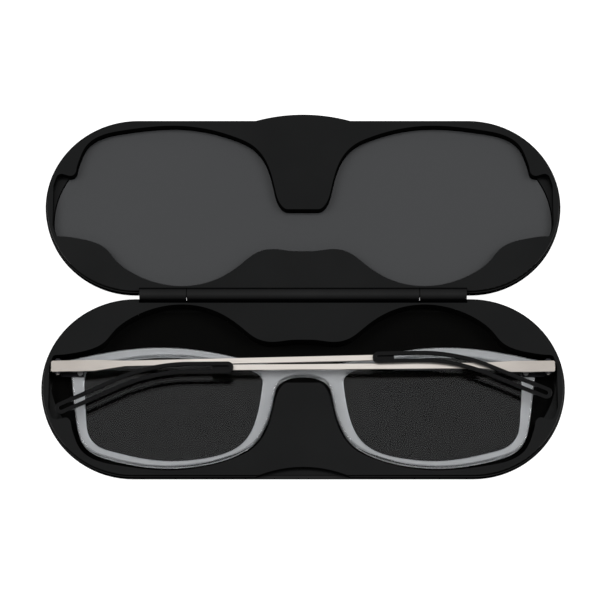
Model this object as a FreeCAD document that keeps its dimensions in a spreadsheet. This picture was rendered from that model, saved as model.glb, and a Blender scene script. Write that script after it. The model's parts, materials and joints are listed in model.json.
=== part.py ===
import FreeCAD, Part
import math
import os
import re
import Sketcher
from FreeCAD import Placement, Rotation, Vector

# A slim hinged case, open flat.  The lower half holds folding glasses and the lid holds their clip-on.
# +Z is up, +X runs along the case and +Y points from the lower half to the lid.
# The origin is the middle of the lower shell's underside.

doc = FreeCAD.newDocument("clip_on_glasses_set")
sheet = doc.addObject("Spreadsheet::Sheet", "Sizes")

SIZES = [
    # the case halves
    ("case_length", 151.0, "outer length of each half"),
    ("case_depth", 53.5, "outer depth of each half, and the width across its round ends"),
    ("half_height", 7.6, "height of one half, from its underside to its rim"),
    ("shell_wall", 0.8, "wall of the outer shells"),
    ("shell_floor", 1.0, "floor of the outer shells"),
    ("shell_round", 5.0, "outer radius between a shell's floor and its side"),
    ("flange_height", 0.8, "thickness of the insert's rim over the shell's edge"),
    ("flange_setback", 0.3, "how far that rim stays inside the shell's side"),
    ("flange_round", 0.3, "radius on that rim's outer top edge"),
    ("pocket_skin", 0.5, "least thickness of an insert beside its pocket"),
    ("tray_gap", 0.15, "side clearance of an insert in its shell"),
    ("rim_gap", 0.2, "gap between the closed rims"),
    ("base_pocket_floor", 2.4, "height of the pocket floor in the lower insert"),
    ("base_pocket_round", 2.0, "radius where the lower pocket follows the shell's round side"),
    ("lid_pocket_floor", 3.7, "height of the pocket floor in the lid's insert"),
    ("lid_pocket_round", 0.4, "the same radius in the lid"),
    ("ledge_depth", 2.5, "depth of the crescent ledges at the pockets' ends below the rim"),
    ("ledge_radius", 24.3, "radius of a ledge's edge"),
    ("ledge_centre", 48.9, "distance of that radius's centre from the middle"),
    ("ledge_shift", 4.5, "how far that centre lies towards the hinge"),
    ("ledge_start", 66.5, "distance from the middle where a ledge begins"),
    # the case hinge
    ("halves_gap", 1.94, "gap between the two halves when they lie flat"),
    ("barrel_radius", 2.05, "outer radius of the hinge barrel"),
    ("barrel_length", 95.0, "length of the whole barrel"),
    ("middle_length", 67.5, "length of the lid's part of the barrel"),
    ("knuckle_gap", 0.2, "end gap between two knuckles"),
    ("barrel_relief", 0.25, "room around the barrel in walls and rims"),
    ("web_root", 0.56, "how deep a hinge web is rooted in a shell's wall"),
    ("web_height", 1.45, "height of a hinge web above the barrel's underside"),
    ("case_pin_radius", 0.75, "radius of the case's hinge pin"),
    ("case_pin_inset", 0.4, "how far the pin ends inside the barrel"),
    ("press_gap", 0.01, "radial gap where a pin is pressed in"),
    ("running_gap", 0.05, "radial gap where a pin turns"),
    # thumb tab, finger scoop and magnets
    ("tab_proud", 2.0, "how far the lid's thumb tab stands out"),
    ("tab_radius", 50.0, "radius of the tab's front edge"),
    ("tab_thick", 2.8, "height of the tab, rim included"),
    ("tab_root", 3.0, "how far the tab reaches back over the lid's edge"),
    ("scoop_reach", 2.85, "how far the finger scoop reaches into the lower half"),
    ("scoop_radius", 33.8, "radius of the finger scoop"),
    ("scoop_depth", 2.0, "depth of the finger scoop below the rim"),
    ("magnet_radius", 2.0, "radius of a closing magnet"),
    ("magnet_height", 3.0, "height of a closing magnet"),
    ("magnet_offset", 15.0, "distance of a closing magnet from the middle"),
    ("magnet_inset", 3.75, "distance of a closing magnet from the free edge"),
    ("magnet_cover", 0.6, "insert left above a closing magnet"),
    # the clip-on
    ("clip_on_thick", 1.2, "thickness of the clip-on"),
    ("clip_on_gap", 0.35, "gap between the clip-on and its pocket's side"),
    ("rest_gap", 0.05, "gap under a loose piece that lies in a pocket"),
    ("hold_magnet_radius", 1.2, "radius of the magnets that hold the clip-on"),
    ("hold_magnet_height", 0.7, "height of the magnets that hold the clip-on"),
    ("hold_magnet_offset", 65.0, "distance of those magnets from the middle"),
    # the glasses front
    ("front_thick", 2.8, "thickness of the glasses front"),
    ("front_gap", 0.1, "gap under the glasses front"),
    ("front_round", 0.4, "radius on the front's edges"),
    ("opening_bevel", 0.3, "bevel around the lens openings, on the wearer's side"),
    ("lens_thick", 1.4, "thickness of a lens"),
    ("groove_depth", 0.5, "how far a lens sits in the rim"),
    ("groove_gap", 0.04, "gap between a lens and its groove"),
    ("lens_lift", 0.6, "height of the lens groove above the front's face"),
    # the temple hinges
    ("hinge_offset", 70.7, "distance of a temple hinge from the middle"),
    ("hinge_place", 5.75, "place of the temple hinges along Y"),
    ("hinge_lift", 2.85, "height of the temple pin above the front"),
    ("plate_thick", 0.5, "thickness of a hinge plate and of its ears"),
    ("plate_reach", 7.4, "how far a hinge plate reaches inwards from the pin"),
    ("ear_radius", 0.9, "radius of an ear around the pin"),
    ("ear_gap", 0.1, "gap between an ear and the temple"),
    ("temple_pin_radius", 0.45, "radius of a temple pin"),
    ("temple_pin_proud", 0.12, "how far a temple pin stands out of its ears"),
    ("rivet_radius", 0.5, "radius of a hinge plate rivet"),
    ("rivet_head_radius", 0.8, "radius of a rivet head"),
    ("rivet_head_height", 0.25, "height of a rivet head"),
    ("rivet_depth", 1.3, "how deep a rivet goes into the front"),
    ("rivet_pitch", 2.2, "distance between a hinge plate's two rivets"),
    ("rivet_edge", 0.3, "plate left outside a rivet's head"),
    # the temples
    ("arm_thick", 0.8, "thickness of a temple arm"),
    ("arm_block_width", 3.3, "width of an arm's hinge end"),
    ("arm_block_length", 10.5, "length of that end inwards from the pin"),
    ("arm_block_back", 1.9, "length of that end outwards from the pin"),
    ("arm_corner", 0.5, "radius on that end's outer corners"),
    ("arm_taper", 9.0, "length of the taper to the narrow part"),
    ("arm_width", 1.6, "width of the narrow part"),
    ("arm_rise", 0.35, "offset of the narrow part from the hinge end's middle"),
    ("arm_length", 97.0, "length of an arm from its pin"),
    ("knuckle_radius", 0.95, "radius of an arm's knuckle around the pin"),
    ("left_splay", 1.4, "angle by which the left arm leans towards the lid"),
    ("right_splay", -0.45, "the same for the right arm, which passes beside it"),
    ("loop_start", 92.5, "distance from the pin to the loop's first end"),
    ("loop_straight", 11.0, "length of the loop's straight beginning"),
    ("loop_bend_radius", 50.0, "radius of the loop's bend"),
    ("loop_bend_angle", 24.5, "angle of the loop's bend"),
    ("loop_drop_length", 17.6, "length of the loop's straight end"),
    ("loop_width", 3.5, "outer width of the loop"),
    ("loop_slot", 1.2, "width of the loop's slot"),
    ("loop_thick", 0.8, "thickness of the loop"),
    ("loop_offset", 0.25, "how far a loop's middle lies beside its arm's middle"),
    ("loop_clearance", 0.15, "height of a loop above the other temple's arm"),
]

for row, (alias, value, meaning) in enumerate(SIZES, start=1):
    sheet.set("A%d" % row, alias)
    sheet.set("B%d" % row, str(value))
    sheet.set("C%d" % row, meaning)
    sheet.setAlias("B%d" % row, alias)
doc.recompute()

ALIASES = [entry[0] for entry in SIZES]


def size(alias):
    """The number that the sheet holds under this alias."""
    return float(sheet.get(alias))


def formula(text):
    """Turn a formula on aliases into an expression that reads the sheet."""

    def reference(match):
        word = match.group(0)
        return "Sizes." + word if word in ALIASES else word

    return re.sub(r"[a-z_]+", reference, text)


def bind(thing, **formulas):
    """Bind properties to formulas; a double underscore in a name stands for a dot."""
    for name, text in formulas.items():
        thing.setExpression(name.replace("__", "."), formula(text))


# Places that several pieces share, as formulas.
AXIS_Y = "(case_depth / 2 + halves_gap / 2)"
AXIS_Z = "(half_height + rim_gap / 2)"
LID_Y = "(case_depth + halves_gap)"
SHELL_TOP = "(half_height - flange_height)"
FRONT_Z = "(base_pocket_floor + front_gap)"
PIN_Z = "(base_pocket_floor + front_gap + front_thick + hinge_lift)"
PLATE_Z = "(base_pocket_floor + front_gap + front_thick)"


# The same places as numbers, for features that are built in code.
lid_y = size("case_depth") + size("halves_gap")
rim_z = size("half_height")
front_z = size("base_pocket_floor") + size("front_gap")
plate_z = front_z + size("front_thick")
pin_z = plate_z + size("hinge_lift")


def box(name, x, y, z, length, width, height):
    """A block from its lowest corner and its three sizes."""
    block = doc.addObject("Part::Box", name)
    bind(block, Length=length, Width=width, Height=height)
    bind(block, Placement__Base__x=x, Placement__Base__y=y, Placement__Base__z=z)
    return block


def cylinder(name, axis, x, y, z, radius, height):
    """A round bar from the middle of its first end, along one of the axes."""
    turns = {
        "x": Rotation(Vector(0, 1, 0), 90),
        "y": Rotation(Vector(1, 0, 0), -90),
        "z": Rotation(),
    }
    bar = doc.addObject("Part::Cylinder", name)
    bar.Placement = Placement(Vector(), turns[axis])
    bind(bar, Radius=radius, Height=height)
    bind(bar, Placement__Base__x=x, Placement__Base__y=y, Placement__Base__z=z)
    return bar


def fuse(name, *things):
    """One solid from several that touch."""
    joined = doc.addObject("Part::MultiFuse", name)
    joined.Shapes = list(things)
    return joined


def cut(name, body, *tools):
    """A body with every tool taken away from it."""
    for step, tool in enumerate(tools):
        result = doc.addObject("Part::Cut", name if tool is tools[-1] else "%s_cut_%d" % (name, step))
        result.Base = body
        result.Tool = tool
        body = result
    return body


def overlap(name, first, second):
    """What two solids have in common."""
    shared = doc.addObject("Part::Common", name)
    shared.Base = first
    shared.Tool = second
    return shared


def feature(name, shape):
    """A solid that is built in code from the sheet's numbers."""
    thing = doc.addObject("Part::Feature", name)
    thing.Shape = shape
    return thing


def extrude(name, face_feature, height):
    """Raise a flat face by a height from the sheet."""
    raised = doc.addObject("Part::Extrusion", name)
    raised.Base = face_feature
    raised.DirMode = "Custom"
    raised.Dir = Vector(0, 0, 1)
    raised.Solid = True
    bind(raised, LengthFwd=height)
    return raised


# ---------------------------------------------------------------- case shells and inserts


def stadium_sketch(body, name, inset, y, z):
    """The case's outline, two sides joined by half circles, moved inwards by a sum of sizes."""
    sketch = body.newObject("Sketcher::SketchObject", name)
    plane = [item for item in body.Origin.OriginFeatures if item.Role == "XY_Plane"][0]
    sketch.AttachmentSupport = [(plane, "")]
    sketch.MapMode = "FlatFace"
    half = (size("case_length") - size("case_depth")) / 2
    radius = size("case_depth") / 2 - sum(size(alias) for alias in inset)
    up = Vector(0, 0, 1)
    quarter = math.pi / 2
    right = Part.Circle(Vector(half, 0, 0), up, radius)
    left = Part.Circle(Vector(-half, 0, 0), up, radius)
    sketch.addGeometry(Part.LineSegment(Vector(-half, radius, 0), Vector(half, radius, 0)))
    sketch.addGeometry(Part.ArcOfCircle(right, -quarter, quarter))
    sketch.addGeometry(Part.LineSegment(Vector(half, -radius, 0), Vector(-half, -radius, 0)))
    sketch.addGeometry(Part.ArcOfCircle(left, quarter, 3 * quarter))
    limit = Sketcher.Constraint
    sketch.addConstraint([
        limit("Tangent", 0, 2, 1, 2),
        limit("Tangent", 1, 1, 2, 1),
        limit("Tangent", 2, 2, 3, 2),
        limit("Tangent", 3, 1, 0, 1),
        limit("Symmetric", 3, 3, 1, 3, -1, 1),
        limit("Horizontal", 0),
        limit("Radius", 1, radius),
        limit("DistanceX", 3, 3, 1, 3, 2 * half),
    ])
    sketch.renameConstraint(6, "end_radius")
    sketch.renameConstraint(7, "centre_distance")
    inset_text = "".join(" - " + alias for alias in inset)
    sketch.setExpression("Constraints.end_radius", formula("case_depth / 2" + inset_text))
    sketch.setExpression("Constraints.centre_distance", formula("case_length - case_depth"))
    sketch.setExpression("AttachmentOffset.Base.y", formula(y))
    sketch.setExpression("AttachmentOffset.Base.z", formula(z))
    return sketch


def pad(body, name, sketch, height):
    """Raise a sketch into a solid."""
    raised = body.newObject("PartDesign::Pad", name)
    raised.Profile = sketch
    bind(raised, Length=height)
    doc.recompute()
    return raised


def round_level(body, name, base, level, radius):
    """Round every edge of a solid that lies flat at one height."""
    names = []
    for number, edge in enumerate(base.Shape.Edges, start=1):
        bounds = edge.BoundBox
        if abs(bounds.ZMin - level) < 1e-4 and abs(bounds.ZMax - level) < 1e-4:
            names.append("Edge%d" % number)
    rounded = body.newObject("PartDesign::Fillet", name)
    rounded.Base = (base, names)
    bind(rounded, Radius=radius)
    doc.recompute()
    return rounded


def rounded_block(name, inset, y, bottom, height, radius):
    """A body with a rounded bottom edge on the case's outline, moved inwards by a sum of sizes."""
    body = doc.addObject("PartDesign::Body", name)
    outline = stadium_sketch(body, name + "_outline", inset, y, bottom)
    block = pad(body, name + "_block", outline, height)
    round_level(body, name + "_round", block, block.Shape.BoundBox.ZMin, radius)
    return body


def case_shell(name, y):
    """An open dish with a rounded bottom edge and an even wall."""
    outer = rounded_block(name + "_outer", (), y, "0", SHELL_TOP, "shell_round")
    inner = rounded_block(
        name + "_inner", ("shell_wall",), y, "shell_floor", SHELL_TOP, "shell_round - shell_wall"
    )
    return cut(name, outer, inner)


def case_insert(name, y):
    """A solid insert that fills its shell, with a rim that covers the shell's edge."""
    core = rounded_block(
        name + "_core", ("shell_wall", "tray_gap"), y,
        "shell_floor", SHELL_TOP + " - shell_floor", "shell_round - shell_wall",
    )
    rim_sketch = stadium_sketch(core, name + "_rim", ("flange_setback",), y, SHELL_TOP)
    rim = pad(core, name + "_rim_block", rim_sketch, "flange_height")
    round_level(core, name + "_rim_round", rim, rim.Shape.BoundBox.ZMax, "flange_round")
    return core


# Half of the pocket's outline, from the nose notch round to the hinge side.  The first number of a point
# is its distance from the middle of the case, the second its distance from the half's centre line,
# counted away from the hinge.
NOTCH_TIP = -1.2
NOSE_AND_LENS = [
    (4.4, -1.2), (6.9, 0.9), (8.2, 5.0), (9.4, 10.0), (11.4, 14.8), (14.9, 18.8), (19.5, 21.2),
    (27.0, 23.6), (36.0, 24.9), (45.0, 24.6), (53.0, 23.5), (59.2, 22.0), (63.6, 19.0), (65.8, 14.5),
    (66.7, 10.9),
]
WING_TOP = [(66.7, 10.9), (67.8, 9.3), (69.4, 9.4), (71.2, 9.8), (72.9, 8.4), (73.3, 6.3)]
WING_END = -7.4
WING_CORNER = 2.2
BROW = [
    (71.1, -9.6), (66.0, -10.2), (60.6, -11.6), (57.6, -13.4), (54.8, -16.8), (50.5, -20.4),
    (44.5, -23.3), (36.0, -24.9), (28.5, -24.0), (22.5, -21.4), (17.4, -17.6), (14.0, -14.9),
    (10.8, -13.7), (7.5, -13.6), (3.8, -14.1), (0.0, -14.2),
]


def curve(points, start=None, finish=None):
    """A smooth edge through points, with chosen directions at its ends."""
    spline = Part.BSplineCurve()
    if start is None:
        spline.interpolate(points)
    else:
        ways = [way.normalize() for way in (start, finish)]
        spline.interpolate(Points=points, InitialTangent=ways[0], FinalTangent=ways[1], Scale=False)
    return spline.toShape()


def moved(points, start, finish, distance):
    """Points shifted to the right of the way they run, given the ways at their first and last point."""
    inner = [
        (after[0] - before[0], after[1] - before[1]) for before, after in zip(points, points[2:])
    ]
    result = []
    for (x, y), (across, along) in zip(points, [start] + inner + [finish]):
        length = math.hypot(across, along)
        result.append((x + distance * along / length, y - distance * across / length))
    return result


def half_pocket_edges(side, centre_y, away, z, inset):
    """The pocket's outline on one side: side is +1 or -1, away is the Y direction away from the hinge.
    An inset moves the whole outline inwards."""

    def place(point):
        return Vector(side * point[0], centre_y + away * point[1], z)

    def stretch(points, start, finish):
        shifted = moved(points, start, finish, inset)
        ways = [Vector(side * way[0], away * way[1], 0) for way in (start, finish)]
        return curve([place(point) for point in shifted], *ways)

    wing_x = WING_TOP[-1][0] - inset
    radius = WING_CORNER - inset
    middle = radius * (1 - math.sqrt(0.5))
    tip = NOTCH_TIP - inset
    corner = Part.Arc(
        place((wing_x, WING_END)),
        place((wing_x - middle, WING_END - radius + middle)),
        place((wing_x - radius, WING_END - radius)),
    )
    return [
        Part.makeLine(place((0, tip)), place((NOSE_AND_LENS[0][0], tip))),
        stretch(NOSE_AND_LENS, (1, 0), (0.1, -1)),
        stretch(WING_TOP, (0.1, -1), (0, -1)),
        Part.makeLine(place((wing_x, WING_TOP[-1][1])), place((wing_x, WING_END))),
        corner.toShape(),
        stretch(BROW, (-1, 0), (-1, 0)),
    ]


def pocket_face(centre_y, away, z, inset=0.0):
    """The flat face inside the whole pocket outline."""
    right = half_pocket_edges(1, centre_y, away, z, inset)
    left = half_pocket_edges(-1, centre_y, away, z, inset)
    return upward(Part.Face(Part.Wire(Part.__sortEdges__(right + left))))


def upward(face):
    """A flat face turned so that it looks up."""
    if face.normalAt(0, 0).z < 0:
        face.reverse()
    return face


def barrel_relief(name, length):
    """The round space that a wall leaves for the hinge barrel."""
    return cylinder(name, "x", "-(%s) / 2" % length, AXIS_Y, AXIS_Z, "barrel_radius + barrel_relief", length)


def magnet_place(away):
    """The Y of the closing magnets of one half."""
    centre = LID_Y if away > 0 else "0"
    sign = "+" if away > 0 else "-"
    return "%s %s (case_depth / 2 - magnet_inset)" % (centre, sign)


def tab_block(name, front_setback, z, height):
    """The part of a round disc that stands out of the lid's free edge."""
    reach = "tab_radius - " + front_setback
    centre = LID_Y + " + case_depth / 2 + tab_proud - tab_radius"
    disc = cylinder(name + "_disc", "z", "0", centre, z, reach, height)
    keep_y = LID_Y + " + case_depth / 2 - tab_root"
    keep = box(name + "_keep", "-tab_radius", keep_y, z, "2 * tab_radius", "tab_proud + 2 * tab_root", height)
    return overlap(name, disc, keep)


SIDES = (("left", -1), ("right", 1))

# the lower shell, with the two outer knuckles
outer_start = "(middle_length / 2 + knuckle_gap)"
outer_length = "((barrel_length - middle_length) / 2 - knuckle_gap)"
base_dish = case_shell("base_dish", "0")
base_open = cut("base_open", base_dish, barrel_relief("base_relief", "(middle_length + 2 * knuckle_gap)"))
base_parts = [base_open]
for side, sign in SIDES:
    start = outer_start if sign > 0 else "-" + outer_start + " - " + outer_length
    base_parts.append(
        cylinder("base_knuckle_" + side, "x", start, AXIS_Y, AXIS_Z, "barrel_radius", outer_length)
    )
    web_y = "case_depth / 2 - web_root"
    web_z = AXIS_Z + " - barrel_radius"
    base_parts.append(
        box("base_web_" + side, start, web_y, web_z, outer_length, "halves_gap", "web_height")
    )
base_knuckles = fuse("base_knuckles", *base_parts)
base_bore = cylinder(
    "base_bore", "x", "-barrel_length", AXIS_Y, AXIS_Z, "case_pin_radius + press_gap", "2 * barrel_length"
)
scoop_y = "-case_depth / 2 + scoop_reach - scoop_radius"
scoop = cylinder("scoop", "z", "0", scoop_y, "half_height - scoop_depth", "scoop_radius", "half_height")
base_shell = cut("base_shell", base_knuckles, base_bore, scoop)

# the lid's shell, with the middle of the barrel and the thumb tab
lid_dish = case_shell("lid_dish", LID_Y)
lid_reliefs = []
for side, sign in SIDES:
    relief_length = "(" + outer_length + " + 2 * knuckle_gap)"
    start = "middle_length / 2" if sign > 0 else "-middle_length / 2 - " + relief_length
    lid_reliefs.append(
        cylinder(
            "lid_relief_" + side, "x", start, AXIS_Y, AXIS_Z,
            "barrel_radius + barrel_relief", relief_length,
        )
    )
lid_open = cut("lid_open", lid_dish, *lid_reliefs)
lid_barrel = cylinder(
    "lid_barrel", "x", "-middle_length / 2", AXIS_Y, AXIS_Z, "barrel_radius", "middle_length"
)
lid_web = box(
    "lid_web", "-middle_length / 2", AXIS_Y + " + web_root - halves_gap / 2",
    AXIS_Z + " - barrel_radius", "middle_length", "halves_gap", "web_height",
)
lid_tab_disc = tab_block("lid_tab_part", "0", "half_height - tab_thick", "tab_thick - flange_height")
lid_tab = cut("lid_tab", lid_tab_disc, doc.getObject("lid_dish_inner"))
lid_joined = fuse("lid_joined", lid_open, lid_barrel, lid_web, lid_tab)
lid_bore = cylinder(
    "lid_bore", "x", "-barrel_length", AXIS_Y, AXIS_Z, "case_pin_radius + running_gap", "2 * barrel_length"
)
lid_shell = cut("lid_shell", lid_joined, lid_bore)

# the pin through all the knuckles
hinge_pin = cylinder(
    "hinge_pin", "x", "-barrel_length / 2 + case_pin_inset", AXIS_Y, AXIS_Z,
    "case_pin_radius", "barrel_length - 2 * case_pin_inset",
)


# ---------------------------------------------------------------- inserts with their pockets


def edges_at(solid, level):
    """All edges that lie flat at one height."""
    return [
        edge for edge in solid.Edges
        if abs(edge.BoundBox.ZMin - level) < 1e-4 and abs(edge.BoundBox.ZMax - level) < 1e-4
    ]


def ledge_limit(name, y, away, z, setback):
    """The ground plan that leaves a crescent ledge at each end of a pocket, as a tall solid."""
    reach = "ledge_radius - " + setback
    start = "(ledge_start - %s)" % setback
    centre = y + " - %d * ledge_shift" % away
    middle = box(
        name + "_middle", "-" + start, y + " - case_depth", z,
        "2 * " + start, "2 * case_depth", "half_height",
    )
    parts = [middle]
    for side, sign in SIDES:
        centre_x = "%d * ledge_centre" % sign
        parts.append(cylinder("%s_end_%s" % (name, side), "z", centre_x, centre, z, reach, "half_height"))
    return fuse(name, *parts)


def pocket_tool(name, centre_y, y, away, floor, edge_round):
    """The space of a pocket: its outline, kept inside the shell's round side, with its end ledges."""
    face = pocket_face(centre_y, away, 0.0)
    prism = feature(name + "_prism", face.extrude(Vector(0, 0, 2 * rim_z)))
    inset = ("shell_wall", "tray_gap", "pocket_skin")
    limit = rounded_block(name + "_limit", inset, y, floor, "half_height", edge_round)
    whole = overlap(name + "_whole", prism, limit)
    above = box(
        name + "_above", "-case_length", y + " - case_depth", "half_height - ledge_depth",
        "2 * case_length", "2 * case_depth", "2 * half_height",
    )
    upper = overlap(name + "_upper", whole, above)
    lower = overlap(name + "_lower", whole, ledge_limit(name + "_ledge", y, away, floor + " - shell_floor", "0"))
    return fuse(name, upper, lower)


base_block = case_insert("base_block", "0")
base_magnet_holes = []
lid_magnet_holes = []
for side, sign in SIDES:
    hole_x = "%d * magnet_offset" % sign
    hole_height = "half_height - magnet_cover - shell_floor"
    hole_radius = "magnet_radius + running_gap"
    base_magnet_holes.append(
        cylinder(
            "base_magnet_hole_" + side, "z", hole_x, magnet_place(-1), "shell_floor",
            hole_radius, hole_height,
        )
    )
    lid_magnet_holes.append(
        cylinder(
            "lid_magnet_hole_" + side, "z", hole_x, magnet_place(1), "shell_floor",
            hole_radius, hole_height,
        )
    )
base_tray = cut(
    "base_tray", base_block,
    pocket_tool("base_pocket", 0.0, "0", -1, "base_pocket_floor", "base_pocket_round"),
    barrel_relief("base_tray_relief", "(barrel_length + 2 * knuckle_gap)"), scoop, *base_magnet_holes,
)

lid_block = case_insert("lid_block", LID_Y)
lid_rim_tab = tab_block("lid_rim_tab", "flange_setback", SHELL_TOP, "flange_height")
lid_block_joined = fuse("lid_block_joined", lid_block, lid_rim_tab)
lid_tray = cut(
    "lid_tray", lid_block_joined,
    pocket_tool("lid_pocket", lid_y, LID_Y, 1, "lid_pocket_floor", "lid_pocket_round"),
    barrel_relief("lid_tray_relief", "(barrel_length + 2 * knuckle_gap)"), *lid_magnet_holes,
)

magnets = []
for half, away in (("base", -1), ("lid", 1)):
    for side, sign in SIDES:
        magnets.append(
            cylinder(
                "%s_magnet_%s" % (half, side), "z", "%d * magnet_offset" % sign, magnet_place(away),
                "half_height - magnet_cover - magnet_height", "magnet_radius", "magnet_height",
            )
        )


# ---------------------------------------------------------------- the clip-on

clip_on_face = pocket_face(lid_y, 1, 0.0, size("clip_on_gap"))
clip_on_prism = extrude("clip_on_prism", feature("clip_on_face", clip_on_face), "half_height")
clip_on_level = "lid_pocket_floor + rest_gap"
clip_on_limit = rounded_block(
    "clip_on_limit", ("shell_wall", "tray_gap", "pocket_skin", "clip_on_gap"), LID_Y,
    clip_on_level, "clip_on_thick", "lid_pocket_round",
)
clip_on_ends = ledge_limit("clip_on_ends", LID_Y, 1, clip_on_level + " - shell_floor", "clip_on_gap")
clip_on_trimmed = overlap("clip_on_trimmed", clip_on_prism, clip_on_limit)
clip_on_blank = overlap("clip_on_blank", clip_on_trimmed, clip_on_ends)
clip_on_cuts = []
clip_on_magnets = []
for side, sign in SIDES:
    place = ("%d * hold_magnet_offset" % sign, LID_Y + " - hinge_place")
    clip_on_cuts.append(
        cylinder(
            "clip_on_hole_" + side, "z", *place, clip_on_level,
            "hold_magnet_radius + running_gap", "hold_magnet_height",
        )
    )
    clip_on_magnets.append(
        cylinder(
            "clip_on_magnet_" + side, "z", *place, clip_on_level,
            "hold_magnet_radius", "hold_magnet_height",
        )
    )
clip_on_lens = cut("clip_on_lens", clip_on_blank, *clip_on_cuts)


# ---------------------------------------------------------------- the glasses front

# The front's outer edge on the right, from the bridge's top round the rim to the bridge's underside.
FRONT_BROW = [
    (0.0, 6.8), (5.0, 7.0), (10.0, 7.7), (16.0, 8.9), (23.0, 10.5), (31.0, 11.9), (40.0, 12.6),
    (51.0, 12.0), (60.0, 10.5), (67.3, 8.9),
]
# a point on the small arc between the brow and the temple side
FRONT_CORNER = (68.05, 8.62)
FRONT_TEMPLE_SIDE = [
    (68.0, 8.0), (67.6, 5.6), (66.9, 2.5), (66.4, -1.5), (65.8, -6.5), (65.0, -11.5), (63.9, -15.2),
    (61.6, -18.0), (57.0, -20.2), (49.0, -22.2), (40.0, -23.2), (32.0, -22.8), (24.8, -21.4),
    (18.4, -19.0), (13.3, -15.2), (10.6, -10.4), (9.2, -6.0), (8.3, -1.2), (7.3, 1.5), (5.0, 3.3),
    (0.0, 4.2),
]
# The right lens opening, round from the nose.
LENS_OPENING = [
    (11.7, 1.3), (12.3, -3.3), (13.6, -9.2), (15.5, -13.7), (18.4, -17.0), (23.0, -19.4),
    (29.2, -20.8), (37.4, -21.5), (45.6, -20.8), (53.6, -19.0), (59.0, -17.0), (61.5, -14.2),
    (62.5, -9.7), (63.0, -3.0), (63.1, 4.0), (62.2, 6.5), (59.0, 7.7), (51.0, 9.2), (43.0, 10.1),
    (35.4, 10.1), (27.5, 9.2), (20.0, 7.7), (14.5, 6.0), (12.2, 4.2),
]


def front_outline(z):
    """The closed outer edge of the glasses front."""
    edges = []
    for sign in (1, -1):

        def place(point):
            return Vector(sign * point[0], point[1], z)

        brow = curve([place(point) for point in FRONT_BROW], Vector(sign, 0, 0), Vector(sign, -0.25, 0))
        corner = Part.Arc(
            place(FRONT_BROW[-1]),
            place(FRONT_CORNER),
            place(FRONT_TEMPLE_SIDE[0]),
        )
        side = curve(
            [place(point) for point in FRONT_TEMPLE_SIDE], Vector(0, -1, 0), Vector(-sign, 0, 0)
        )
        edges += [brow, corner.toShape(), side]
    return Part.Wire(Part.__sortEdges__(edges))


def lens_plate(sign, z, growth, height):
    """A flat plate with the outline of a lens opening, grown by a distance."""
    count = len(LENS_OPENING)
    around = [LENS_OPENING[-1]] + LENS_OPENING + [LENS_OPENING[0]]
    grown = moved(around, (1, 0), (1, 0), growth)[1:count + 1]
    spline = Part.BSplineCurve()
    spline.interpolate(Points=[Vector(sign * x, y, z) for x, y in grown], PeriodicFlag=True)
    face = upward(Part.Face(Part.Wire(spline.toShape())))
    return face.extrude(Vector(0, 0, height))


front_face = upward(Part.Face(front_outline(front_z)))
front_blank = front_face.extrude(Vector(0, 0, size("front_thick")))
front_blank = front_blank.makeFillet(
    size("front_round"), edges_at(front_blank, front_z) + edges_at(front_blank, plate_z)
)
groove_z = front_z + size("lens_lift")
lens_z = groove_z + size("groove_gap")
lens_features = []
for side, sign in SIDES:
    opening = lens_plate(sign, front_z, 0.0, size("front_thick"))
    groove_height = size("lens_thick") + 2 * size("groove_gap")
    groove = lens_plate(sign, groove_z, size("groove_depth"), groove_height)
    front_blank = front_blank.cut(opening)
    ring = [
        edge for edge in edges_at(front_blank, plate_z)
        if edge.isClosed() and edge.BoundBox.Center.x * sign > 0
    ]
    front_blank = front_blank.makeChamfer(size("opening_bevel"), ring).cut(groove)
    lens_growth = size("groove_depth") - size("groove_gap")
    lens = lens_plate(sign, lens_z, lens_growth, size("lens_thick"))
    lens_features.append(feature("lens_" + side, lens))
front_body = feature("front_body", front_blank)

front_tools = []
front_magnets = []
rivets = []
for side, sign in SIDES:
    magnet_x = "%d * hold_magnet_offset" % sign
    front_tools.append(
        cylinder(
            "front_hole_" + side, "z", magnet_x, "hinge_place", FRONT_Z,
            "hold_magnet_radius + running_gap", "hold_magnet_height",
        )
    )
    front_magnets.append(
        cylinder(
            "front_magnet_" + side, "z", magnet_x, "hinge_place", FRONT_Z,
            "hold_magnet_radius", "hold_magnet_height",
        )
    )
    pair = []
    for step, shift in (("low", "-"), ("high", "+")):
        rivet_y = "hinge_place %s rivet_pitch / 2" % shift
        rivet_x = "%d * (hinge_offset - plate_reach + rivet_head_radius + rivet_edge)" % sign
        shank_z = PLATE_Z + " - rivet_depth"
        shank_height = "rivet_depth + plate_thick"
        name = "%s_%s" % (side, step)
        front_tools.append(
            cylinder(
                "rivet_hole_" + name, "z", rivet_x, rivet_y, shank_z,
                "rivet_radius + press_gap", shank_height,
            )
        )
        shank = cylinder("rivet_shank_" + name, "z", rivet_x, rivet_y, shank_z, "rivet_radius", shank_height)
        head = cylinder(
            "rivet_head_" + name, "z", rivet_x, rivet_y, PLATE_Z + " + plate_thick",
            "rivet_head_radius", "rivet_head_height",
        )
        pair.append(fuse("rivet_" + name, shank, head))
    rivets.append(pair)
front_frame = cut("front_frame", front_body, *front_tools)


pin_reach = "(arm_block_width / 2 + ear_gap + plate_thick + temple_pin_proud)"


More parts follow.
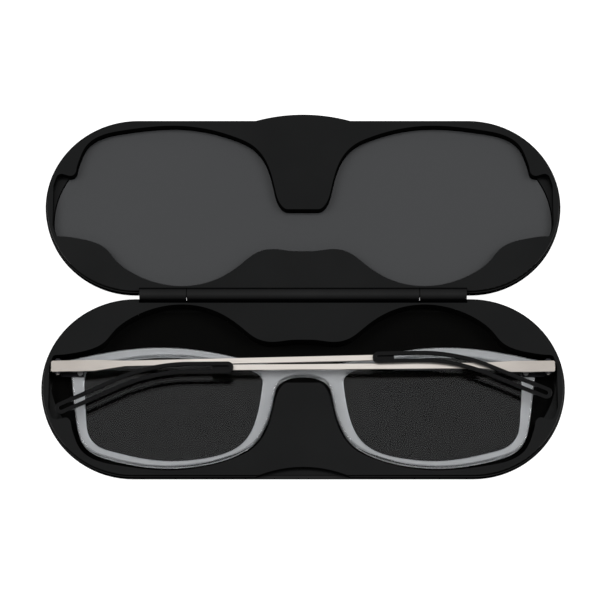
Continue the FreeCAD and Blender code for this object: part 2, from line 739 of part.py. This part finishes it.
def hinge_plate(side, sign):
    """A flat plate on the front's end with two ears that hold the temple pin."""
    half_gap = "(arm_block_width / 2 + ear_gap)"
    ear_length = "2 * ear_radius"
    outer = "(hinge_offset + ear_radius)"
    inner = "(hinge_offset - plate_reach)"
    start = inner if sign > 0 else "-" + outer
    low_y = "hinge_place - %s - plate_thick" % half_gap
    plate = box(
        "plate_" + side, start, low_y, PLATE_Z, outer + " - " + inner,
        "2 * %s + 2 * plate_thick" % half_gap, "plate_thick",
    )
    parts = [plate]
    for step, ear_y in (("low", low_y), ("high", "hinge_place + " + half_gap)):
        ear_x = "%d * hinge_offset - ear_radius" % sign
        name = "ear_%s_%s" % (side, step)
        parts.append(box(name + "_post", ear_x, ear_y, PLATE_Z, ear_length, "plate_thick", "hinge_lift"))
        parts.append(
            cylinder(
                name + "_eye", "y", "%d * hinge_offset" % sign, ear_y, PIN_Z,
                "ear_radius", "plate_thick",
            )
        )
    bracket = fuse("bracket_" + side, *parts)
    tools = [
        cylinder(
            "bracket_bore_" + side, "y", "%d * hinge_offset" % sign, "hinge_place - " + pin_reach, PIN_Z,
            "temple_pin_radius + press_gap", "2 * " + pin_reach,
        )
    ]
    for step, shift in (("low", "-"), ("high", "+")):
        tools.append(
            cylinder(
                "bracket_hole_%s_%s" % (side, step), "z",
                "%d * (hinge_offset - plate_reach + rivet_head_radius + rivet_edge)" % sign,
                "hinge_place %s rivet_pitch / 2" % shift, PLATE_Z,
                "rivet_radius + press_gap", "plate_thick",
            )
        )
    return cut("front_hinge_" + side, bracket, *tools)


front_hinges = []
temple_pins = []
for side, sign in SIDES:
    front_hinges.append(hinge_plate(side, sign))
    temple_pins.append(
        cylinder(
            "temple_pin_" + side, "y", "%d * hinge_offset" % sign, "hinge_place - " + pin_reach, PIN_Z,
            "temple_pin_radius", "2 * " + pin_reach,
        )
    )


# ---------------------------------------------------------------- the temples


def temple_frame(sign, splay):
    """Where a temple lies: its pin at the hinge, its arm folded inwards and leaning by its splay."""
    turn = splay if sign < 0 else 180.0 - splay
    pin_place = Vector(sign * size("hinge_offset"), size("hinge_place"), 0)
    return Placement(pin_place, Rotation(Vector(0, 0, 1), turn))


def arm_shape(flip):
    """A temple arm along +X from its pin; flip mirrors its outline for the other side."""
    block = size("arm_block_width") / 2
    low = size("arm_rise") - size("arm_width") / 2
    high = size("arm_rise") + size("arm_width") / 2
    shoulder = size("arm_block_length")
    waist = shoulder + size("arm_taper")
    end = size("arm_length")
    back = -size("arm_block_back")
    top_z = pin_z + size("knuckle_radius")
    bottom_z = top_z - size("arm_thick")
    outline = [
        (back, -block), (shoulder, -block), (waist, low), (end, low),
        (end, high), (waist, high), (shoulder, block), (back, block),
    ]
    points = [Vector(x, flip * y, bottom_z) for x, y in outline]
    blade = Part.Face(Part.makePolygon(points + points[:1])).extrude(Vector(0, 0, size("arm_thick")))
    corners = [
        edge for edge in blade.Edges
        if edge.BoundBox.ZLength > size("arm_thick") / 2 and edge.BoundBox.XMax < 0
    ]
    blade = blade.makeFillet(size("arm_corner"), corners)
    knuckle = Part.makeCylinder(
        size("knuckle_radius"), 2 * block, Vector(0, -block, pin_z), Vector(0, 1, 0)
    )
    bore_radius = size("temple_pin_radius") + size("running_gap")
    bore = Part.makeCylinder(bore_radius, 4 * block, Vector(0, -2 * block, pin_z), Vector(0, 1, 0))
    return blade.fuse(knuckle).removeSplitter().cut(bore)


def loop_shape(flip):
    """The open loop at a temple's end: a ring drawn out along a bent line, with a foot on the arm."""
    start = size("loop_start")
    straight = start + size("loop_straight")
    radius = size("loop_bend_radius")
    angle = math.radians(size("loop_bend_angle"))
    line_y = size("arm_rise") - size("loop_offset")
    bottom_z = pin_z + size("knuckle_radius") + size("loop_clearance")

    def place(x, y):
        return Vector(x, flip * y, bottom_z)

    bend_end = (straight + radius * math.sin(angle), line_y - radius * (1 - math.cos(angle)))
    bend_middle = (
        straight + radius * math.sin(angle / 2),
        line_y - radius * (1 - math.cos(angle / 2)),
    )
    drop = size("loop_drop_length")
    finish = (bend_end[0] + drop * math.cos(angle), bend_end[1] - drop * math.sin(angle))
    path = Part.Wire([
        Part.makeLine(place(start, line_y), place(straight, line_y)),
        Part.Arc(place(straight, line_y), place(*bend_middle), place(*bend_end)).toShape(),
        Part.makeLine(place(*bend_end), place(*finish)),
    ])
    outer = Part.Face(path.makeOffset2D(size("loop_width") / 2))
    slot = Part.Face(path.makeOffset2D(size("loop_slot") / 2))
    ring = outer.cut(slot).extrude(Vector(0, 0, size("loop_thick")))
    foot_width = size("arm_width")
    foot_start = start - size("loop_slot") / 2
    foot = Part.makeBox(
        size("arm_length") - foot_start, foot_width, size("loop_clearance"),
        Vector(foot_start, flip * size("arm_rise") - foot_width / 2, bottom_z - size("loop_clearance")),
    )
    return ring.fuse(foot)


temple_arms = []
temple_tips = []
for side, sign in SIDES:
    lie = temple_frame(sign, size(side + "_splay"))
    arm = feature("temple_arm_" + side, arm_shape(-sign))
    arm.Placement = lie
    tip = feature("temple_tip_" + side, loop_shape(-sign))
    tip.Placement = lie
    temple_arms.append(arm)
    temple_tips.append(tip)


# ---------------------------------------------------------------- check and write

rivet_groups = []
for (side, sign), pair in zip(SIDES, rivets):
    group = doc.addObject("Part::Compound", "front_hinge_rivets_" + side)
    group.Links = pair
    rivet_groups.append(group)

NODES = [base_shell, base_tray, lid_shell, lid_tray, hinge_pin, clip_on_lens, front_frame]
NODES += magnets + clip_on_magnets + front_magnets + lens_features
NODES += front_hinges + rivet_groups + temple_pins + temple_arms + temple_tips

doc.recompute()
for thing in doc.Objects:
    if "Invalid" in thing.State or "Error" in thing.State:
        raise RuntimeError("%s failed: %s" % (thing.Name, thing.State))
for node in NODES:
    if node.Shape.isNull() or not node.Shape.isValid():
        raise RuntimeError("%s has no valid shape" % node.Name)

os.makedirs("parts", exist_ok=True)
for node in NODES:
    node.Label = node.Name
    node.Shape.exportStep("parts/%s.step" % node.Label)
    print("%-28s %6.2f mm3 in %d solid(s)" % (node.Label, node.Shape.Volume, len(node.Shape.Solids)))
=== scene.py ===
# %% [markdown]
# # Folding glasses and a clip-on sun lens in their slim case
#
# The case lies open and flat.  Its lower half holds glasses with a crystal front and two
# flat metal temples, folded over each other.  Its lid holds the clip-on, one sheet of
# smoke-grey plastic that spans both eyes.
#
# The machined shapes come ready made from the CAD frame, in metres, and nothing here moves
# them.  This lesson gives every surface its finish, rounds the edges that a hand would feel,
# and sets up the light and the camera.

# %% Load the fixed frame
import json
import math

import bmesh
import bpy
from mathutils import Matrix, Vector

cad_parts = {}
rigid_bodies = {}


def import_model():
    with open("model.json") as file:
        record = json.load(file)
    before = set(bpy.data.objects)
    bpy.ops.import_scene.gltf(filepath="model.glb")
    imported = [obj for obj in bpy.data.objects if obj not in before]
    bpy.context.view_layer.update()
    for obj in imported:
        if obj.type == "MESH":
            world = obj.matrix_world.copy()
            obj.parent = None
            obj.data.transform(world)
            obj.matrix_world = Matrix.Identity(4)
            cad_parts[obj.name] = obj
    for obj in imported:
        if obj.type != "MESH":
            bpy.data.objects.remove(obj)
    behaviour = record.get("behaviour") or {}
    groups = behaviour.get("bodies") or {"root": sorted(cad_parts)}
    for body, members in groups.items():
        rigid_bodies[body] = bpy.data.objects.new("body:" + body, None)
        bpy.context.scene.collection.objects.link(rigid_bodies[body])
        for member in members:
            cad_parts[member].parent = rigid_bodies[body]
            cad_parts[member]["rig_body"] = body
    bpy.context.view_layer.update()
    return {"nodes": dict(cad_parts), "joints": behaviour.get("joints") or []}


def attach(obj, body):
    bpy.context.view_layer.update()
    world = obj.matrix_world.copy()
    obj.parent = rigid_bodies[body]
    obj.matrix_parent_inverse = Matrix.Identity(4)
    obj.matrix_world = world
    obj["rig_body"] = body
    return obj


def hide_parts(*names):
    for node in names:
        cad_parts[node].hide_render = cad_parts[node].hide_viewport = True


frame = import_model()
NODES = frame["nodes"]
MM = 0.001

# %% [markdown]
# ## The camera
#
# The set is looked at steeply from the front, the way one looks down at a case on a table.
# A long lens a metre away keeps the two halves nearly the same width.  The camera aims at a
# point just beside the middle of the case hinge, which is where the two halves meet, so the
# aim is worked out from that joint and not typed in.

# %% The case hinge gives the aim
hinge = next(joint for joint in frame["joints"] if joint["name"] == "lid_hinge")
hinge_middle = Vector(hinge["pos_m"])
print("case hinge at", [round(c / MM, 2) for c in hinge_middle], "mm")

# %% Place the camera
ELEVATION = math.radians(72)
DISTANCE = 1.0088
FOCAL_LENGTH = 208.3
SENSOR_WIDTH = 36
NEAR_LIMIT = 0.05
AIM_LEFT = 0.892 * MM
AIM_DOWN = 1.42 * MM
towards_camera = Vector((0, -math.cos(ELEVATION), math.sin(ELEVATION)))
picture_up = Vector((0, math.sin(ELEVATION), math.cos(ELEVATION)))
aim = hinge_middle - Vector((AIM_LEFT, 0, 0)) - AIM_DOWN * picture_up
lens_data = bpy.data.cameras.new("table_camera")
lens_data.lens = FOCAL_LENGTH
lens_data.sensor_width = SENSOR_WIDTH
lens_data.clip_start = NEAR_LIMIT
camera = bpy.data.objects.new("table_camera", lens_data)
camera.location = aim + DISTANCE * towards_camera
camera.rotation_euler = (-towards_camera).to_track_quat("-Z", "Y").to_euler()
bpy.context.scene.collection.objects.link(camera)
bpy.context.scene.camera = camera
print("camera", round(DISTANCE, 3), "m away")

# %% [markdown]
# ## Shader sums written as sums
#
# A finish is mostly small sums: a grain plus a smudge, times a mask.  Wrapping a socket in a
# small class lets Python's own signs stand for Math nodes, so a finish reads like the sentence
# that describes it.  Every other node comes from one method, which takes its kind, its
# settings and what goes into its sockets.

# %% A socket that knows arithmetic


class Value:
    """A number that changes over a surface."""

    def __init__(self, finish, socket):
        self.finish = finish
        self.socket = socket

    def math(self, operation, *others):
        values = dict(enumerate((self,) + others))
        return self.finish.node("Math", {"operation": operation}, values)

    def __add__(self, other):
        return self.math("ADD", other)

    __radd__ = __add__

    def __mul__(self, other):
        return self.math("MULTIPLY", other)

    __rmul__ = __mul__

    def __sub__(self, other):
        return self.math("SUBTRACT", other)

    def __rsub__(self, other):
        return (self * -1) + other

    def clamped(self):
        return self.math("MAXIMUM", 0.0).math("MINIMUM", 1.0)


# %% One material and the nodes that make it


class Finish:
    """A material, its main shader and its pattern nodes."""

    def __init__(self, name):
        self.material = bpy.data.materials.new(name)
        self.material.use_nodes = True
        self.tree = self.material.node_tree
        self.shader = self.tree.nodes["Principled BSDF"]
        self.place = self.node("TexCoord", output="Object")
        print("finish:", name)

    def feed(self, socket, value):
        """Links a changing value to a socket, or writes a fixed one on it."""
        if isinstance(value, Value):
            self.tree.links.new(value.socket, socket)
        else:
            socket.default_value = value

    def node(self, kind, settings=None, values=None, output=0):
        """Adds a node, sets it up, fills its sockets and gives one of its outputs."""
        made = self.tree.nodes.new("ShaderNode" + kind)
        for name, setting in (settings or {}).items():
            setattr(made, name, setting)
        for name, value in (values or {}).items():
            self.feed(made.inputs[name], value)
        return Value(self, made.outputs[output])

    def base(self, **sockets):
        """Sets the main shader's sockets; an underscore in a name stands for a space."""
        for name, value in sockets.items():
            self.feed(self.shader.inputs[name.replace("_", " ")], value)

    def noise(self, scale, detail=2.0, stretch=(1, 1, 1)):
        """Soft noise between 0 and 1, with a scale in cells for each metre."""
        spread = self.node("Mapping", None, {"Vector": self.place, "Scale": stretch})
        return self.node("TexNoise", None, {"Vector": spread, "Scale": scale, "Detail": detail})

    def height(self):
        """The height of a point above the table, in metres."""
        return self.node("SeparateXYZ", None, {"Vector": self.place}, "Z")

    def upward(self):
        """1 where a surface looks straight up, 0 where it stands upright."""
        normal = self.node("TexCoord", output="Normal")
        return self.node("SeparateXYZ", None, {"Vector": normal}, "Z")

    def step(self, value, low, high):
        """0 below low, 1 above high, and a soft slope between."""
        return ((value - low) * (1.0 / (high - low))).clamped()

    def tint(self, factor, dark, light):
        """A colour between two, by a value from 0 to 1."""
        colours = {0: factor, 6: (*dark, 1), 7: (*light, 1)}
        return self.node("Mix", {"data_type": "RGBA"}, colours, 2)

    def over(self, factor, **sockets):
        """Lays the main shader over a second one that shows where factor is 0."""
        under = self.tree.nodes.new("ShaderNodeBsdfPrincipled")
        for name, value in sockets.items():
            self.feed(under.inputs[name.replace("_", " ")], value)
        layers = (factor, Value(self, under.outputs[0]), Value(self, self.shader.outputs[0]))
        mixed = self.node("MixShader", None, dict(enumerate(layers)))
        self.feed(self.tree.nodes["Material Output"].inputs["Surface"], mixed)

    def relief(self, height, depth):
        """A bump of a real depth in metres."""
        values = {"Height": height, "Distance": depth, "Strength": 1.0}
        self.base(Normal=self.node("Bump", None, values))


# %% [markdown]
# ## Moulded black plastic
#
# The case is moulded plastic in two finishes.  Outside it is soft to the touch: a fine even
# grain that spreads the light.  A mask that follows how far the surface looks up paints light
# and shade into it: the crown is painted lighter and gets a coat's sheen, and the upright
# walls are painted darker, black without the coat.  The inserts are smoother.  A mask by
# height and by facing up paints their rims lighter, with a satin coat, and paints shade on the
# floor of the lower pocket, a black so deep that it shows hardly anything, so one finish serves
# the whole moulding.

# %% Soft-touch black for the shells
shell_black = Finish("shell_black")
grain = shell_black.noise(5200, 3)
smudge = shell_black.noise(55, 3)
# Painted light and shade: this mask paints the up-facing crown lighter and lets the coat's sheen
# in only there, and paints the upright walls darker.
painted_crown_light = shell_black.step(shell_black.upward(), 0.55, 0.97)
shell_black.base(
    Base_Color=shell_black.tint(painted_crown_light, (0.0010, 0.0010, 0.0011), (0.0042, 0.0043, 0.0044)),
    Roughness=0.5,
    Specular_IOR_Level=0.0,
    Coat_Weight=(painted_crown_light * (smudge * 0.3 + 0.15)).clamped(),
    Coat_Roughness=0.35,
)
shell_black.relief(grain, 0.006 * MM)

# %% Painted sheen on the insert rims and painted shade on the pocket floor
POCKET_FLOOR = 2.4 * MM
PAINTED_RIM_LIGHT_BEGINS = 0.1 * MM
PAINTED_RIM_LIGHT_IS_FULL = 1.2 * MM
insert_black = Finish("insert_black")
# Painted light and shade: these masks paint the flat raised rim lighter with a coat's sheen, and
# paint the pocket floor a deeper black as painted shade.
raised = insert_black.step(
    insert_black.height(), POCKET_FLOOR + PAINTED_RIM_LIGHT_BEGINS, POCKET_FLOOR + PAINTED_RIM_LIGHT_IS_FULL
)
flat = insert_black.step(insert_black.upward(), 0.80, 0.98)
painted_rim_light = raised * flat
fine = insert_black.noise(7000, 2)
smudge = insert_black.noise(38, 3)
insert_black.base(
    Base_Color=insert_black.tint(painted_rim_light, (0.0023, 0.0023, 0.0022), (0.0036, 0.0038, 0.0039)),
    Roughness=0.5,
    Specular_IOR_Level=0.0,
    Coat_Weight=(painted_rim_light * (smudge * 0.2 + 0.17)).clamped(),
    Coat_Roughness=0.22,
)
insert_black.relief(fine, 0.0012 * MM)

# %% [markdown]
# ## Sun lens, clear lenses and the crystal front
#
# All three are clear plastics.  The clip-on is tinted right through, so it keeps a grey body
# of its own and lets a part of the light pass.  The front is crystal acetate, and its edges look
# water-clear and take on the black.  Its flat faces get painted light: a pale, milky layer is
# laid over the clear one, and a mask that follows how far the surface looks up shows it only on
# the faces, pale against the black pocket.  The lenses hardly show but for what they reflect, so
# they bend light a little less than the front does.

# %% Smoke-grey sheet
SHEET_IOR = 1.36
smoke_sheet = Finish("smoke_sheet")
cloud = smoke_sheet.noise(14, 2)
smoke_sheet.base(
    Base_Color=smoke_sheet.tint(cloud, (0.0555, 0.0570, 0.0595), (0.062, 0.064, 0.0665)),
    Roughness=0.16,
    Transmission_Weight=0.45,
    IOR=SHEET_IOR,
)

# %% Crystal acetate
ACETATE_IOR = 1.45
WATER_CLEAR = (0.93, 0.94, 0.95, 1)
clear_acetate = Finish("clear_acetate")
# Painted light: the pale milky layer and its tone show only where the surface looks up, which
# paints the flat faces pale while the edges stay water-clear.
acetate_painted_light_tone = clear_acetate.noise(90, 3)
face = clear_acetate.step(clear_acetate.upward(), 0.90, 0.995)
clear_acetate.base(
    Base_Color=clear_acetate.tint(acetate_painted_light_tone, (0.46, 0.475, 0.49), (0.56, 0.575, 0.59)),
    Roughness=0.06,
    Transmission_Weight=0.62,
    IOR=ACETATE_IOR,
)
clear_acetate.over(
    face, Base_Color=WATER_CLEAR, Roughness=0.02, Transmission_Weight=1.0, IOR=ACETATE_IOR
)

# %% Clear lenses
LENS_IOR = 1.33
lens_clear = Finish("lens_clear")
haze = lens_clear.noise(30, 2)
lens_clear.base(
    Base_Color=lens_clear.tint(haze, (0.88, 0.90, 0.91), (0.94, 0.95, 0.96)),
    Roughness=0.0,
    Transmission_Weight=1.0,
    IOR=LENS_IOR,
)

# %% [markdown]
# ## Metal and rubber
#
# The temples are thin spring strip, brushed along their length and tinted a pale champagne.
# Brushing is many fine scratches in one direction, so the noise is stretched along the arm
# and squeezed across it.  It roughens the surface unevenly and barely dents it.  The colour of
# the strip is painted lighter along its middle and painted darker towards the thick hinge
# blocks at both ends, as painted light and shade.  The loops at the ends are dipped in glossy
# black.

# %% Brushed champagne metal
champagne = Finish("champagne_metal")
ALONG_ARM = (0.02, 1.0, 1.0)
PAINTED_ARM_SHADE_BEGINS = 30 * MM
PAINTED_ARM_SHADE_IS_FULL = 66 * MM
brushing = champagne.noise(9000, 3, ALONG_ARM)
sideways = champagne.node("SeparateXYZ", None, {"Vector": champagne.place}, "X")
# Painted light and shade: the arm's colour is lighter along its middle and painted darker
# towards the hinge blocks at both ends, with a little random tone mixed in.
painted_arm_light = 1 - champagne.step(sideways.math("ABSOLUTE"), PAINTED_ARM_SHADE_BEGINS, PAINTED_ARM_SHADE_IS_FULL)
painted_arm_light_and_tone = (painted_arm_light * 0.85 + champagne.noise(60, 2) * 0.15).clamped()
champagne.base(
    Base_Color=champagne.tint(painted_arm_light_and_tone, (0.48, 0.442, 0.406), (0.82, 0.765, 0.712)),
    Metallic=1.0,
    Roughness=brushing * 0.2 + 0.22,
)
champagne.relief(brushing, 0.0015 * MM)

# %% Glossy black for the loops
black_rubber = Finish("black_rubber")
ripple = black_rubber.noise(350, 2)
black_rubber.base(
    Base_Color=black_rubber.tint(ripple, (0.0012, 0.0012, 0.0013), (0.0022, 0.0022, 0.0024)),
    Roughness=ripple * 0.08 + 0.14,
    Specular_IOR_Level=0.16,
)

# %% Steel for pins and rivets, dull nickel for magnets, blued steel for the hinges
METALS = {
    "pin_steel": ((0.30, 0.30, 0.31), (0.38, 0.38, 0.38), 0.30),
    "magnet_nickel": ((0.020, 0.020, 0.021), (0.030, 0.030, 0.031), 0.30),
    "blued_steel": ((0.012, 0.012, 0.014), (0.020, 0.020, 0.022), 0.35),
}
metals = {}
for name, (dark, light, polish) in METALS.items():
    metal = metals[name] = Finish(name)
    scuff = metal.noise(900, 3)
    metal.base(
        Base_Color=metal.tint(scuff, dark, light), Metallic=1.0, Roughness=scuff * 0.15 + polish
    )

# %% [markdown]
# ## Hand every frame part its finish
#
# Each part already names the material slot that it belongs to, so one table from slot to
# finish dresses the whole frame.  The pin of the case and the hinge plates of the glasses get
# the blued steel by name: a near-black steel, darker than the other metal, which also paints
# the shade of the gap and the rim that they sit in.

# %% Dress the frame
FINISHES = {
    "shell_black": shell_black,
    "insert_black": insert_black,
    "smoke_sheet": smoke_sheet,
    "clear_acetate": clear_acetate,
    "lens_clear": lens_clear,
    "champagne_metal": champagne,
    "black_rubber": black_rubber,
    **metals,
}
for name, part in NODES.items():
    for slot in part.material_slots:
        slot.material = FINISHES[slot.material.name.split(".")[0]].material
# Painted shade: these parts get the near-black blued steel, darker than the other metal, which
# also paints the shade they sit in.
BLUED_AND_SHADE_PAINTED_PARTS = ("hinge_pin", "front_hinge_left", "front_hinge_right")
for name in BLUED_AND_SHADE_PAINTED_PARTS:
    NODES[name].material_slots[0].material = metals["blued_steel"].material
print("dressed", len(NODES), "parts in", len(FINISHES), "finishes")

# %% [markdown]
# ## Rounded edges
#
# A real edge is never quite sharp, and the thin bright line along it is what makes strip
# metal or a dipped loop look like itself.  A copy of the part has its loose triangles merged
# and its flat faces joined, and then a bevel rounds only the sharp edges.  The copy stands
# for the part, which stays in the frame unseen.  Weighted normals keep the flat faces looking
# flat between their rounded edges.

# %% Round a part's sharp edges
MERGE_WITHIN = 0.002 * MM
SAME_PLANE = math.radians(0.5)
SHARP_EDGE = math.radians(35)
BEVEL_STEPS = 3
FLAT_FACE_WEIGHT = 90


def eased(node, width):
    """A copy of a frame part with its sharp edges rounded."""
    source = NODES[node]
    shape = bmesh.new()
    shape.from_mesh(source.data)
    bmesh.ops.remove_doubles(shape, verts=shape.verts, dist=MERGE_WITHIN)
    bmesh.ops.dissolve_limit(
        shape, angle_limit=SAME_PLANE, verts=shape.verts, edges=shape.edges
    )
    edges = [
        edge for edge in shape.edges
        if len(edge.link_faces) == 2 and edge.calc_face_angle(0) > SHARP_EDGE
    ]
    bmesh.ops.bevel(
        shape, geom=edges, offset=width, offset_type="OFFSET", affect="EDGES",
        segments=BEVEL_STEPS, profile=0.5, material=-1, clamp_overlap=True, harden_normals=False,
    )
    for face in shape.faces:
        face.smooth = True
    mesh = bpy.data.meshes.new(node + "_eased")
    shape.to_mesh(mesh)
    shape.free()
    piece = bpy.data.objects.new(node + "_eased", mesh)
    bpy.context.scene.collection.objects.link(piece)
    mesh.materials.clear()
    mesh.materials.append(source.material_slots[0].material)
    flat_faces = piece.modifiers.new("flat_faces", "WEIGHTED_NORMAL")
    flat_faces.weight = FLAT_FACE_WEIGHT
    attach(piece, source["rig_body"])
    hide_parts(node)
    print(node, "eased:", len(mesh.polygons), "faces")


# %% Ease the temples, where every edge catches the light
ARM_EDGE = 0.12 * MM
LOOP_EDGE = 0.25 * MM
for side in ("left", "right"):
    eased("temple_arm_" + side, ARM_EDGE)
    eased("temple_tip_" + side, LOOP_EDGE)

# %% [markdown]
# ## Floor and light
#
# The set lies on a plain white light table, which glows enough to stay white right up to the
# case, under soft light from all round.  The even sky gives
# flat surfaces their quiet sheen, and two wide panels at the sides draw bright lines along the
# rounded edges.  Neither stands where a flat surface would mirror it to the camera.

# %% White table top
FLOOR_SIZE = 6.0
FLOOR_GLOW = 0.96
plane = bmesh.new()
bmesh.ops.create_grid(plane, x_segments=1, y_segments=1, size=FLOOR_SIZE / 2)
floor_mesh = bpy.data.meshes.new("table_top")
plane.to_mesh(floor_mesh)
plane.free()
floor = bpy.data.objects.new("table_top", floor_mesh)
bpy.context.scene.collection.objects.link(floor)
white = Finish("white_top")
white.base(
    Base_Color=(0.25, 0.25, 0.25, 1),
    Roughness=0.9,
    Specular_IOR_Level=0.0,
    Emission_Color=(1, 1, 1, 1),
    Emission_Strength=FLOOR_GLOW,
)
floor_mesh.materials.append(white.material)

# %% Even sky and two side panels
SKY_STRENGTH = 0.62
PANEL_SIZE = 0.9
PANEL_POWER = 20
world = bpy.data.worlds.new("studio")
world.use_nodes = True
sky = world.node_tree.nodes["Background"]
sky.inputs["Color"].default_value = (1, 1, 1, 1)
sky.inputs["Strength"].default_value = SKY_STRENGTH
bpy.context.scene.world = world
PANELS = {"left": (-1.1, 0.2, 1.4), "right": (1.1, 0.2, 1.4)}
for name, place in PANELS.items():
    panel_data = bpy.data.lights.new("panel_" + name, "AREA")
    panel_data.shape = "RECTANGLE"
    panel_data.size = PANEL_SIZE
    panel_data.size_y = PANEL_SIZE
    panel_data.energy = PANEL_POWER
    panel = bpy.data.objects.new("panel_" + name, panel_data)
    panel.location = place
    panel.rotation_euler = (-Vector(place)).to_track_quat("-Z", "Y").to_euler()
    bpy.context.scene.collection.objects.link(panel)
bpy.context.scene.view_settings.view_transform = "Standard"
